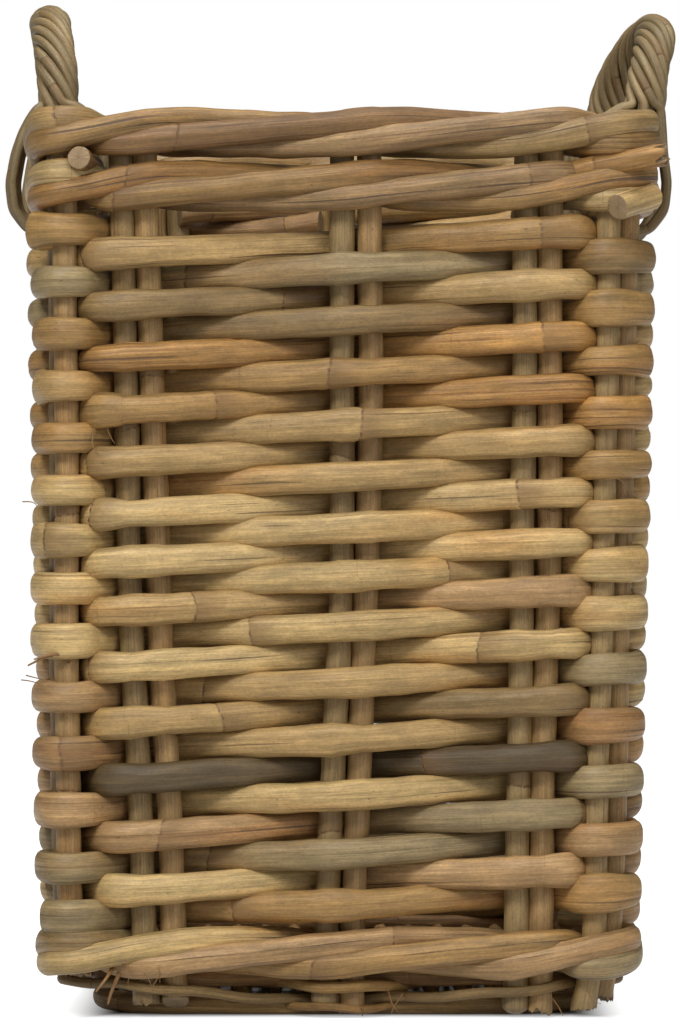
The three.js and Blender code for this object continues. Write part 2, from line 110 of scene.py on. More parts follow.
# Cane ends that stick out of the front of the rim: their root and their tip, as x along the wall, y out
# from its stakes, and z; then radius, finish and tone
STUBS = {
    "rim_peg_end": ((-163, -14, 561), (-170, 28, 565), 7.4, "cut", "brown"),
    "rim_torn_end": ((146, 6, 556), (209, 25, 567), 7.4, "frayed", "orange"),
    "rim_pale_end": ((205, 2, 542), (181, 27, 533), 8.6, "cut", "cream"),
}

# Loose fibres: x along the front wall and z of the root, then of the tip
FIBRES = (
    (-160, 392, -151, 374), (-153, 391, -147, 379), (-208, 341, -197, 331), (-209, 224, -190, 217),
    (-206, 227, -184, 223), (-152, 40, -139, 25), (-148, 42, -130, 33), (-141, 38, -122, 19),
    (-128, 43, -118, 26), (-113, 39, -124, 22), (186, 346, 171, 355), (178, 397, 160, 391),
    (32, 19, 38, 7), (41, 17, 34, 5), (140, 14, 146, 4), (163, 30, 171, 12),
)
FIBRE_RADIUS = 0.42
FIBRE_ROOT_OUT = 15  # from the stakes' middles
FIBRE_STANDS_OUT = 12  # its tip, from its root
# Splinters, in the same way
SPLINTERS = ((-184, 240, -204, 234), (-178, 236, -200, 238), (-150, 34, -160, 20), (-144, 33, -152, 12))
SPLINTER_RADIUS = 1.5

# Handles: a core bow with nine strands wound side by side over it
CORE_RADIUS = 8.5
# Their wall, and how far out of it the near leg, the far leg and the top of the bow lie
HANDLES = {"right": (1, 22, 3, 31), "left": (3, 14, 6, 16)}
BOW_FOOT = 606  # where its legs begin to bend
STRANDS = 9
LEG_SWING = 40  # height over which a leg swings out to its bow
STRAND_THICK = 6.5
STRAND_ORBIT = 11.0  # from the core's middle to a strand's
STRAND_TURNS = -1.9
LASHED_SHARE = 0.42  # strands that come down further out than this share of their orbit are lashings
# A lashing from the bow down the outer side of the rim, and down the inner one: out and height
OUTER_LASHING = (
    (13, 611), (20, 603), (27, 593), (34, 578), (38, 558), (36, 540), (26, 527), (9, 523), (-5, 524),
)
INNER_LASHING = (
    (-13, 611), (-20, 603), (-26, 592), (-28, 576), (-28, 556), (-26, 540), (-19, 528), (-6, 524), (4, 524),
)

STAKE_RADIUS = 8.2
STAKE_TOP = 592
RIM_LEVEL = 600  # where the rim's half width is taken
# How far the stakes of the front wall bend to the right of a straight line, at these heights
BEND_HEIGHTS = (0, 86, 263, 421, 513, 600)
STRAIGHT = (0,) * 6
BENDS = {
    "front_left_stake_1": (2, 2.6, -0.6, -0.6, 1.2, 0),
    "front_left_stake_2": (5, 6, 0.7, 0.9, -0.6, 0),
    "front_middle_stake_1": (0, 0, 6.5, 6.2, 3.4, 2),
    "front_middle_stake_2": (0, 0.6, 6.5, 7.1, 6.2, 4),
    "front_right_stake_1": (3, 2.8, 4.1, 3.2, 2.5, 2),
    "front_right_stake_2": (2, 1.8, 4.4, 3.7, 1.9, 1.5),
    "front_left_corner_stake_1": (-4, -6, -5, 0, 0, 0),
    "front_left_corner_stake_2": (-4, -6, -5, 0, 0, 0),
}

# The stakes' feet that the photo shows: height and finish
FEET = {
    "front_left_stake_1": (11, "frayed"),
    "front_left_stake_2": (11, "slant"),
    "front_middle_stake_1": (12, "round"),
    "front_middle_stake_2": (5, "frayed"),
    "front_right_stake_1": (9, "round"),
    "front_right_stake_2": (5, "frayed"),
    "front_right_corner_stake_1": (7, "frayed"),
    "front_left_corner_stake_1": (34, "frayed"),
    "front_left_corner_stake_2": (30, "frayed"),
}
CORNER_FOOT_SWING = 9  # how far the feet at the corners and on the left wall lean in
LEFT_FEET_HIGHER = 14
TWINING_LOW, TWINING_HIGH = 7, 21  # middles of the foot's thin strands where they cross
TWINING_START = 7  # the group, the back right corner, where the thin strands begin and end
BASE_PITCH = 10.5  # from one pass of the base's weaver to the next
WEAVER_RADIUS = 4.4
BASE_LEVEL = 34  # where the stakes set the base's width
EDGE_LEVEL = 26  # of the ring at the edge of the base
EDGE_SIZE = (6, 7)  # its half width and half height
EDGE_CORNER = 30  # the radius that it turns the corners with
HOOP_WIDTH = 15
HOOP_CORNER = 46

# Tones of peeled rattan, sRGB from 0 to 255, and what their linear light is multiplied by
WARMTH = (1.09, 1.03, 0.87)
TONES = {
    "pale": (178, 153, 109),
    "cream": (190, 165, 120),
    "straw": (168, 141, 98),
    "honey": (150, 118, 76),
    "orange": (163, 125, 76),
    "pinkish": (162, 132, 96),
    "tan": (156, 125, 81),
    "brown": (136, 104, 68),
    "olive": (128, 106, 72),
    "grey": (143, 127, 97),
    "dark": (86, 72, 50),
    "handle": (124, 110, 84),
}


def linear(tone):
    """A tone as linear light."""
    c = np.asarray(TONES[tone], float) / 255
    return np.where(c < 0.04045, c / 12.92, ((c + 0.055) / 1.055) ** 2.4) * WARMTH


def random_of(name):
    """A random generator that gives the same draws for the same name."""
    return np.random.default_rng(zlib.crc32(name.encode()))


# Places worked out from the model


def ends_of(node):
    """A stake's lower and upper end, in millimetres."""
    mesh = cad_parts[node].data
    points = np.empty(len(mesh.vertices) * 3)
    mesh.vertices.foreach_get("co", points)
    points = points.reshape(-1, 3) / MM
    z = points[:, 2]
    return points[z < z.min() + 5].mean(0), points[z > z.max() - 5].mean(0)


class Post:
    """A stake or handle leg that canes pass."""

    def __init__(self, low, high, radius, corner, bend=STRAIGHT):
        self.low = low
        self.bend = bend
        self.slope = (high[:2] - low[:2]) / (high[2] - low[2])
        self.radius = radius
        self.corner = corner

    def at(self, z):
        return self.low[:2] + self.slope * (z - self.low[2]) + (np.interp(z, BEND_HEIGHTS, self.bend), 0)


def stake_names():
    """The stakes' names by group, three groups along each wall and one at the corner after it."""
    names = []
    for wall, corner in zip(WALLS, CORNERS):
        for place in (wall + "_left", wall + "_middle", wall + "_right", corner + "_corner"):
            names.append([place + "_stake_1", place + "_stake_2"])
    return names


posts = [[Post(*ends_of(name), STAKE_RADIUS, index % 4 == 3, BENDS.get(name, STRAIGHT)) for name in names]
         for index, names in enumerate(stake_names())]
# The pairs in the middle of the walls are groups 1, 5, 9 and 13
back_to_front = sum(post.at(0) for post in posts[9] + posts[1])
left_to_right = sum(post.at(0) for post in posts[13] + posts[5])
centre = np.array([left_to_right[0], back_to_front[1]]) / 4
reaches = centre[1] - posts[1][0].at(RIM_LEVEL)[1], posts[5][0].at(RIM_LEVEL)[0] - centre[0]
HALF_RIM = float(np.mean(reaches))
HALF_FOOT = float(centre[1] - posts[1][0].at(0)[1])


def turned(x, y, wall):
    """A vector turned from the front wall to another one."""
    c, s = [(1, 0), (0, 1), (-1, 0), (0, -1)][wall % 4]
    return np.array([x * c - y * s, x * s + y * c])


def on_wall(wall, along, out):
    """A point beside a wall: along it to the right, seen from outside, and out from the middle."""
    return centre + turned(along, -out, wall)


def along_wall(wall, points):
    """How far along its wall each point lies."""
    direction = turned(1, 0, wall)
    return (points - centre) @ direction


rows_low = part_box("randing_cane_1_lower")[0].z / MM
rows_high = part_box("randing_cane_1_upper")[1].z / MM
ROW_PITCH = (rows_high - rows_low + ROW_GAP) / (ROWS + 1)
FIRST_ROW = rows_low + (ROW_PITCH - ROW_GAP) / 2


# Taut routes past posts


def right_of(heading):
    """The unit vector to the right of a heading, which points out of the basket."""
    return np.array([np.sin(heading), -np.cos(heading)]).T


def wrap(angle):
    return math.atan2(math.sin(angle), math.cos(angle))


def headings_of(passes):
    """The headings of a taut cane between its passes."""
    headings = []
    for a, b in zip(passes, passes[1:]):
        way = b["centre"] - a["centre"]
        lean = float(np.clip((a["offset"] - b["offset"]) / np.linalg.norm(way), -MOST_LEAN, MOST_LEAN))
        headings.append(math.atan2(way[1], way[0]) + math.asin(lean))
    return headings


def touched(passes):
    """The passes less those that a taut cane would not touch."""
    while True:
        headings = headings_of(passes)
        loose = [i for i in range(2, len(passes) - 2)
                 if passes[i]["offset"] * wrap(headings[i] - headings[i - 1]) < 0]
        if not loose:
            return passes, headings
        passes = passes[: loose[0]] + passes[loose[0] + 1 :]


def softened(values, width):
    """Values along a line, smoothed over a width in samples."""
    reach = int(3 * width) + 1
    kernel = np.exp(-0.5 * (np.arange(-reach, reach + 1) / width) ** 2)
    kernel /= kernel.sum()
    before, after = 2 * values[0] - values[reach:0:-1], 2 * values[-1] - values[-2 : -reach - 2 : -1]
    padded = np.concatenate([before, values, after])
    return np.convolve(padded, kernel, "valid")


def lengths_along(points):
    """How far along a line each of its points lies."""
    return np.concatenate([[0], np.cumsum(np.linalg.norm(np.diff(points, axis=0), axis=1))])


def even_steps(points, step, soft=0):
    """A line's points at even steps, smoothed over a length, and how far along it each lies."""
    run = lengths_along(points)
    even = np.arange(0, run[-1], step)
    columns = [np.interp(even, run, column) for column in np.transpose(points)]
    if soft:
        columns = [softened(column, soft / step) for column in columns]
    return np.column_stack(columns), even


def directions(points):
    """The unit vectors along a line."""
    ahead = np.gradient(points, axis=0)
    return ahead / np.linalg.norm(ahead, axis=1)[:, None]


def level_frames(line):
    """Side and up vectors of a level line, side pointing out of the basket."""
    heading = np.arctan2(np.gradient(line[:, 1]), np.gradient(line[:, 0]))
    side = np.column_stack([right_of(heading), np.zeros(len(line))])
    return side, np.tile((0, 0, 1.0), (len(line), 1))


def route(passes, soft=SOFTENING):
    """A cane's centre line, every STEP, where each point lies among the passes, and the passes."""
    passes, headings = touched(passes)
    points, places = [], []
    for i in range(1, len(passes) - 1):
        post = passes[i]
        turn = wrap(headings[i] - headings[i - 1])
        bends = max(2, int(abs(turn) / 0.1))
        for k in range(bends + 1):
            heading = headings[i - 1] + turn * k / bends
            points.append(post["centre"] + right_of(heading) * post["offset"])
            places.append(i + 0.4 * (k / bends - 0.5))
    line, even = even_steps(points, STEP, soft)
    return line, np.interp(even, lengths_along(points), places), passes


def carried(passes, places, key):
    """A value of the passes, carried along the route between them."""
    values = np.array([float(p[key]) for p in passes])
    return np.interp(places, np.arange(len(passes)), values)


def uneven(rng, kept, places, spread):
    """A cane's thickness along its route, as a share, different at each pass."""
    return 1 + np.interp(places, np.arange(len(kept)), rng.normal(0, spread, len(kept)))


def groups_seen(kept, places):
    """For each point of a route, the nearest group of stakes that the cane passes outside."""
    outer = np.array([i for i, p in enumerate(kept) if p["side"] == 1])
    return [kept[i]["group"] for i in outer[np.abs(places[:, None] - outer[None, :]).argmin(1)]]


def beside(post, side, depth, z, **facts):
    """The pass of a cane of some depth on the outer side, 1, or the inner side, -1, of a post."""
    offset = side * (post.radius + CONTACT + depth / 2)
    return dict(centre=post.at(z), offset=offset, side=side, corner=post.corner, **facts)


# Meshes


def placed(name, data):
    """A new object in the scene."""
    made = bpy.data.objects.new(name, data)
    bpy.context.collection.objects.link(made)
    return made


def new_object(name, verts, quads, caps, values, uv):
    """A mesh object from arrays, with its values as point attributes."""
    mesh = bpy.data.meshes.new(name)
    corners = np.concatenate([quads.ravel(), caps.ravel()])
    sizes = np.concatenate([np.full(len(quads), 4), np.full(len(caps), 3)])
    mesh.vertices.add(len(verts))
    mesh.vertices.foreach_set("co", np.asarray(verts, np.float32).ravel())
    mesh.loops.add(len(corners))
    mesh.loops.foreach_set("vertex_index", corners.astype(np.int32))
    mesh.polygons.add(len(sizes))
    starts = np.concatenate([[0], np.cumsum(sizes)[:-1]])
    mesh.polygons.foreach_set("loop_start", starts.astype(np.int32))
    mesh.update(calc_edges=True)
    for key, (kind, field, data) in values.items():
        layer = mesh.attributes.new(key, kind, "POINT")
        layer.data.foreach_set(field, np.asarray(data, np.float32).ravel())
    layer = mesh.uv_layers.new(name="cane")
    layer.data.foreach_set("uv", np.asarray(uv, np.float32)[corners].ravel())
    mesh.shade_smooth()
    mesh.set_sharp_from_angle(angle=math.radians(CREASE))
    return placed(name, mesh)


def frames_of(points):
    """Side and up vectors carried along a line in space without twist."""
    ahead = directions(points)
    side = np.cross(ahead[0], (0.13, 0.21, 0.97))
    sides = []
    for direction in ahead:
        side = side - direction * (side @ direction)
        side = side / np.linalg.norm(side)
        sides.append(side)
    sides = np.array(sides)
    return sides, np.cross(ahead, sides)


def waves(rng, run, lengths, size):
    """Slow random waves along a cane, with the given wavelengths."""
    total = np.zeros_like(run)
    for length in lengths:
        phase = rng.uniform(0, 2 * math.pi)
        total += np.sin(2 * math.pi * run / (length * rng.uniform(0.8, 1.25)) + phase)
    return size * total / len(lengths)


def add_cane(name, slot, nodes, points, half_width, half_height, tone, side=None, up=None, sides=22,
             boxy=2.25, knots=(160, 280), lumps=0.03, ends=("cut", "cut"), cracks=6, jag=3.0,
             slant=(0, 0, 0), wear=0.3):
    """A piece of cane along points, with growth nodes, lumps, cracks and finished ends."""
    rng = random_of(name)
    points = np.asarray(points, float)
    if side is None:
        side, up = frames_of(points)
    count = len(points)
    run = lengths_along(points)
    half_width, half_height, wear = (np.broadcast_to(a, count) for a in (half_width, half_height, wear))
    tone = np.broadcast_to(tone, (count, 3))

    angle = np.linspace(0, 2 * math.pi, sides, endpoint=False)
    c, s = np.cos(angle), np.sin(angle)
    shape = (np.abs(c) ** boxy + np.abs(s) ** boxy) ** (-1 / boxy)
    ridges = sum(
        rng.uniform(0.002, 0.007) * np.cos(k * angle + rng.uniform(0, 6.3)) for k in range(3, 9))
    factor = np.ones((count, sides)) * (1 + ridges)
    for turn in range(1, 3):
        size = waves(rng, run, (34, 61, 97), lumps)
        factor += size[:, None] * np.cos(turn * angle - rng.uniform(0, 6.3))[None, :]
    factor += waves(rng, run, (45, 80, 150), lumps)[:, None]

    # Growth nodes: a swelling with a groove in its middle
    ring = np.full((count, sides), FAR_FROM_NODES)
    place = rng.uniform(20, knots[0])
    while place < run[-1]:
        tilt = rng.uniform(1, 3) * half_width.mean() / 8
        away = (run - place)[:, None] - tilt * np.cos(angle + rng.uniform(0, 6.3))[None, :]
        swell, groove = (size * np.exp(-((away / reach) ** 2)) for size, reach in (NODE_SWELL, NODE_GROOVE))
        factor += swell - groove
        ring = np.where(np.abs(away) < np.abs(ring), away, ring)
        place += rng.uniform(*knots)

    # Cracks: grooves that run along the cane for a while
    for _ in range(int(cracks * run[-1] / 1000)):
        start = rng.uniform(0, run[-1])
        length = rng.uniform(25, 90)
        along = np.clip(1 - ((run - start) / length) ** 2, 0, 1)
        middle = rng.uniform(0, 2 * math.pi) + 0.004 * (run - start)
        away = np.angle(np.exp(1j * (angle[None, :] - middle[:, None])))
        deep = rng.uniform(0.03, 0.1) * (0.7 + 0.9 * wear)
        factor -= (deep * along)[:, None] * np.exp(-((away / CRACK_REACH) ** 2))

    radial = side[:, None, :] * (half_width[:, None] * (shape * c)[None, :] * factor)[..., None]
    radial = radial + up[:, None, :] * (half_height[:, None] * (shape * s)[None, :] * factor)[..., None]
    rings = points[:, None, :] + radial

    # The ends: smaller and smaller rings over the cut face, marked as cut
    ahead = directions(points)
    blocks, cuts, runs = [rings], [np.zeros((count, sides))], [np.repeat(run[:, None], sides, 1)]
    for end, kind in zip((0, -1), ends):
        direction = -ahead[0] if end == 0 else ahead[-1]
        at = points[end]
        fray = jag if kind == "frayed" else 0.25
        if kind == "frayed":
            rings[end] += rng.uniform(-fray, fray, sides)[:, None] * direction
        if kind == "slant":
            rings[end] += np.maximum((rings[end] - at) @ slant, -jag)[:, None] * direction
        edge = rings[end]
        bulge = float(half_width[end]) * {"cut": 0.05, "frayed": 0.0, "slant": 0.0, "round": 0.75}[kind]
        extra = []
        for share in END_RINGS:
            grow = bulge * math.sqrt(1 - share**2)
            rough = rng.uniform(-fray, fray, sides) * (0.5 + 0.5 * share)
            extra.append(at + (edge - at) * share + (grow + rough)[:, None] * direction)
        mark = 0.25 if kind == "round" else 1.0
        added = np.array(extra), *(np.full((len(extra), sides), value) for value in (mark, run[end]))
        for whole, more in zip((blocks, cuts, runs), added):
            whole.insert(0 if end == 0 else len(whole), more[::-1] if end == 0 else more)
    verts = np.concatenate(blocks).reshape(-1, 3)
    cut = np.concatenate(cuts).ravel()
    along = np.concatenate(runs)
    total = len(along)

    index = np.arange(total * sides).reshape(total, sides)
    nxt = np.roll(index, -1, axis=1)
    quads = np.stack([index[:-1], nxt[:-1], nxt[1:], index[1:]], axis=-1).reshape(-1, 4)
    fan = np.arange(1, sides - 1)
    first = np.zeros_like(fan)
    caps = np.concatenate([np.stack([first, fan + 1, fan], axis=-1),
                           index[-1, 0] + np.stack([first, fan, fan + 1], axis=-1)])
    if np.dot(np.cross(side[0], up[0]), ahead[0]) < 0:
        quads, caps = quads[:, ::-1], caps[:, ::-1]
    head = len(blocks[0])
    spread = np.clip(np.arange(total) - head, 0, count - 1)
    colour = np.column_stack([np.repeat(tone[spread], sides, axis=0), np.ones(total * sides)])
    thick = float(half_height.mean()) * MM
    grain = [along * MM + rng.uniform(0, 9), *(np.broadcast_to(a * thick, along.shape) for a in (c, s))]
    values = {
        "tone": ("FLOAT_COLOR", "color", colour),
        "wear": ("FLOAT", "value", np.repeat(wear[spread], sides)),
        "ring": ("FLOAT", "value", ring[spread].ravel()),
        "cut": ("FLOAT", "value", cut),
        "grain": ("FLOAT_VECTOR", "vector", np.stack(grain, axis=-1).reshape(-1, 3)),
    }
    uv = np.stack([along * MM, np.broadcast_to(angle / (2 * math.pi), along.shape)], axis=-1)
    piece = new_object(name, verts * MM, quads, caps, values, uv.reshape(-1, 2))
    piece.data.materials.append(MATERIALS[slot])
    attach(piece, "root")
    if nodes:
        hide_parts(*nodes)


# Materials


class Nodes:
    """A node tree, with short calls for the nodes that the rattan, the floor and the world use."""

    def __init__(self, tree):
        self.tree = tree

    def add(self, kind, **inputs):
        return self.feed(self.tree.nodes.new(kind), **inputs)

    def feed(self, node, **inputs):
        """Set or link a node's inputs by their names."""
        for key, value in inputs.items():
            self.put(value, node.inputs[key.replace("_", " ")])
        return node

    def put(self, value, socket):
        if isinstance(value, bpy.types.NodeSocket):
            self.tree.links.new(value, socket)
        else:
            socket.default_value = value

    def attribute(self, name, output):
        node = self.tree.nodes.new("ShaderNodeAttribute")
        node.attribute_name = name
        return node.outputs[output]

    def noise(self, vector, along, around, detail, roughness):
        """Noise with its own scale along a cane and around it."""
        scaled = self.add("ShaderNodeMapping", Vector=vector, Scale=(along, around, around))
        return self.add("ShaderNodeTexNoise", Vector=scaled.outputs["Vector"], Scale=1.0, Detail=detail,
                        Roughness=roughness).outputs["Fac"]

    def ranged(self, value, low, high, to_low=0.0, to_high=1.0):
        node = self.tree.nodes.new("ShaderNodeMapRange")
        node.interpolation_type = "SMOOTHSTEP"
        for socket, item in zip(node.inputs, (value, low, high, to_low, to_high)):
            self.put(item, socket)
        return node.outputs["Result"]

    def math(self, operation, a, b=0.0):
        node = self.tree.nodes.new("ShaderNodeMath")
        node.operation = operation
        self.put(a, node.inputs[0])
        self.put(b, node.inputs[1])
        return node.outputs[0]

    def mix(self, share, a, b, blend="MIX"):
        node = self.tree.nodes.new("ShaderNodeMix")
        node.data_type = "RGBA"
        node.blend_type = blend
        self.put(share, node.inputs[0])
        self.put(a, node.inputs[6])
        self.put(b, node.inputs[7])
        return node.outputs[2]


def new_material(name):
    """A material, its nodes and its shader."""
    material = bpy.data.materials.new(name)
    material.use_nodes = True
    return material, Nodes(material.node_tree), material.node_tree.nodes["Principled BSDF"]


def rattan(name, streaky=1.0, fibrous=1.0, cracked=1.0, stained=1.0, rough=0.5, shine=0.4):
    """Peeled rattan: lengthwise grain and fibres, stains, fine cracks, dark nodes and pithy ends."""
    material, n, shader = new_material(name)
    grain = n.attribute("grain", "Vector")
    tone = n.attribute("tone", "Color")
    ring, cut, wear = (n.attribute(name, "Fac") for name in ("ring", "cut", "wear"))
    streaks = n.noise(grain, 8, 260, 4, 0.62)
    bands = n.noise(grain, 5, 430, 3, 0.6)
    fibres = n.noise(grain, 30, 1500, 3, 0.65)
    stains = n.noise(grain, 13, 70, 4, 0.65)
    clouds = n.noise(grain, 5, 34, 2, 0.5)
    specks = n.noise(grain, 260, 560, 2, 0.5)
    splits = n.noise(grain, 6, 420, 2, 0.5)
    wobble = n.noise(grain, 90, 260, 2, 0.5)
    stipple = n.noise(grain, 420, 640, 2, 0.6)
    mottle = n.noise(grain, 45, 140, 5, 0.7)
    patches = n.noise(grain, 9, 50, 3, 0.6)

    colour = tone
    for pattern, low, high, dark, light in (
            (streaks, 0.28, 0.74, 1 - 0.2 * streaky, 1 + 0.24 * streaky),
            (fibres, 0.3, 0.72, 1 - 0.22 * fibrous, 1 + 0.14 * fibrous),
            (mottle, 0.32, 0.7, 1 - 0.18 * stained, 1 + 0.16 * stained),
            (stipple, 0.34, 0.66, 0.92, 1.07)):
        colour = n.mix(1.0, colour, n.ranged(pattern, low, high, dark, light), "MULTIPLY")
    for pattern, low, high, share, tint in (
            (stains, 0.54, 0.72, 0.6, (0.66, 0.7, 0.6, 1)),
            (patches, 0.54, 0.72, 0.5, (1.5, 1.5, 1.45, 1)),
            (clouds, 0.52, 0.7, 0.65, (0.98, 0.76, 0.55, 1))):
        colour = n.mix(n.ranged(pattern, low, high, 0.0, share * stained), colour, tint, "MULTIPLY")
    lines = n.ranged(bands, n.math("ADD", 0.36, n.math("MULTIPLY", wear, 0.14)), 0.3)
    lines = n.math("MULTIPLY", lines, n.ranged(wear, 0.0, 1.0, 0.35 * streaky, 0.85))
    colour = n.mix(lines, colour, (0.5, 0.38, 0.28, 1), "MULTIPLY")
    dark = n.ranged(specks, 0.69, 0.78, 0.0, 0.55)
    colour = n.mix(dark, colour, (*(linear("dark") * 0.5), 1))
    opening = n.math("SUBTRACT", 0.7, n.math("MULTIPLY", wear, 0.09))
    split = n.ranged(splits, opening, n.math("ADD", opening, 0.06), 0.0, 0.75 * cracked)
    colour = n.mix(split, colour, (0.09, 0.05, 0.025, 1))
    away = n.math("ADD", ring, n.math("MULTIPLY", n.math("SUBTRACT", wobble, 0.5), 3.2))
    broken = n.ranged(n.noise(grain, 60, 330, 2, 0.5), 0.36, 0.62, 0.25, 0.85)
    scar = n.math("MULTIPLY", n.ranged(n.math("ABSOLUTE", away), 0.2, 1.1), broken)
    scar = n.math("SUBTRACT", broken, scar)
    shade = n.math("MULTIPLY", n.ranged(away, 0.0, 0.8), n.ranged(away, 1.5, 26.0, 0.5, 0.0))
    colour = n.mix(shade, colour, (*(linear("brown") * 0.6), 1))
    colour = n.mix(scar, colour, (0.115, 0.055, 0.022, 1))
    pith = n.noise(grain, 900, 900, 3, 0.6)
    end = n.mix(pith, (0.42, 0.29, 0.15, 1), (0.2, 0.125, 0.065, 1))
    colour = n.mix(cut, colour, end)
    height = n.math("MULTIPLY", streaks, 0.8 * streaky)
    for layer, share in ((fibres, 0.3 * fibrous), (bands, 0.5 * streaky), (stipple, 0.45),
                         (split, -1.2), (scar, -0.8), (n.math("MULTIPLY", pith, cut), 2.0)):
        height = n.math("ADD", height, n.math("MULTIPLY", layer, share))
    bump = n.add("ShaderNodeBump", Strength=0.6, Distance=0.0009, Height=height)
    n.feed(shader, Base_Color=colour, Roughness=n.ranged(streaks, 0.3, 0.7, rough + 0.1, rough - 0.08),
           Specular_IOR_Level=shine, Normal=bump.outputs["Normal"])
    return material


MATERIALS = {
    "weaving_canes": rattan("peeled_weaving_cane"),
    "stakes": rattan("stake_cane", streaky=0.7, cracked=0.6, stained=0.7, rough=0.52),
    "wale_rods": rattan("wale_cane", streaky=1.3, cracked=1.2),
    "foot_and_base": rattan("foot_cane", streaky=1.3, fibrous=1.5, rough=0.6, shine=0.3),
    "handle_cane": rattan("thin_unpeeled_cane", streaky=0.8, fibrous=0.9, cracked=0.5, stained=0.5,
                          rough=0.55),
}


# Stakes


def add_stakes():
    """Round stakes with finished feet, the second of a pair a little redder."""
    for names, group in zip(stake_names(), posts):
        for i, (name, post) in enumerate(zip(names, group)):
            rng = random_of(name + "tone")
            foot = post.low[2] + rng.uniform(-4, 3) + LEFT_FEET_HIGHER * name.startswith("left_")
            foot, finish = FEET.get(name, (foot, "frayed"))
            z = np.arange(foot, STAKE_TOP, LONG_STEP)
            wander = np.column_stack([waves(rng, z, (210, 340), 0.7), waves(rng, z, (190, 300), 0.7)])
            line = np.transpose([post.at(h) for h in z])
            line = np.column_stack([softened(column, 12) for column in line])
            inward = centre - line[0]
            swing = post.corner or name.startswith("left_")
            swing = CORNER_FOOT_SWING * swing * np.exp(-((z / 30) ** 2))
            line = line + swing[:, None] * inward / np.linalg.norm(inward)
            points = np.column_stack([line + wander, z])
            tone = (linear("straw") + linear(("grey", "pinkish")[i])) * 0.5 * rng.uniform(0.86, 1.02)
            tip = np.exp(-(((z - foot) / 9) ** 2))
            flare = STAKE_RADIUS * (1 + (0.14 if finish == "round" else 0.08) * tip)
            tone = tone * (1 - 0.3 * tip[:, None])
            side, up = (np.tile(way, (len(z), 1)) for way in ((1.0, 0, 0), (0, 1.0, 0)))
            add_cane("stake_" + name, "stakes", [name], points, flare, flare, tone, side, up, sides=24,
                     boxy=2.0, knots=(180, 300), ends=(finish, "cut"), jag=2.6, slant=(0, 0.75, 0))


# Randing canes: the tones to draw from, by the row that a band starts at, and the floats that stand out
BANDS = (
    (22, "olive tan honey straw grey tan"),
    (17, "orange tan straw pale tan straw"),
    (9, "cream pale straw tan pinkish cream"),
    (-9, "grey straw pale tan olive pinkish straw cream"),
)
STANDING_OUT = {  # (group of stakes, row): tone and wear
    (0, 5): ("dark", 0.3),
    (2, 5): ("dark", 0.9),
    (0, 21): ("orange", 1.0),
    (2, 19): ("orange", 1.0),
    (0, 13): ("cream", 0.2),
    (2, 15): ("cream", 0.8),
    (15, 20): ("straw", 1.0),
}


def float_tone(chase, group):
    """The tone and wear of a cane where it passes outside a group of stakes."""
    row = group // 4 - chase
    rng = random_of("float {} {}".format(chase, group))
    words = next(words for lowest, words in BANDS if row >= lowest).split()
    name = words[rng.integers(len(words))]
    wear = rng.uniform(0, 0.8) ** 1.5
    name, wear = STANDING_OUT.get((group % GROUPS, row), (name, wear))
    return np.append(linear(name) * rng.uniform(0.94, 1.06), wear)


def add_randing():
    """Four canes that climb in a spiral, each in two lengths that end behind stakes."""
    walls = ROWS // 2
    for chase in range(CHASES):
        first = 4 * chase - 1
        splice = first + 4 * walls + (chase + 1) % 2
        last = first + 8 * walls - (chase == TOP_LENGTH_CHASE)
        add_cane_length("lower", chase, range(first, splice + 1))
        add_cane_length("upper", chase, range(splice, last + 1))
    first = 4 * (TOP_LENGTH_CHASE + ROWS) - 1
    add_cane_length("top", TOP_LENGTH_CHASE, range(first, first + 2))


def nose_of(item, neighbour, reach):
    """One more pass, on past a pair, where the cane dives behind the corner next to it."""
    if item["side"] < 0 or item["corner"] or neighbour["side"] > 0 or not neighbour["corner"]:
        return []
    return [dict(item, centre=item["centre"] + turned(reach, 0, item["wall"]))]


def with_noses(passes):
    """The passes of a randing cane with its noses beside the corners."""
    fuller = []
    for before, item, after in zip(passes[:1] + passes, passes, passes[1:] + passes[-1:]):
        fuller += nose_of(item, before, -NOSE_REACH) + [item] + nose_of(item, after, NOSE_REACH)
    return fuller


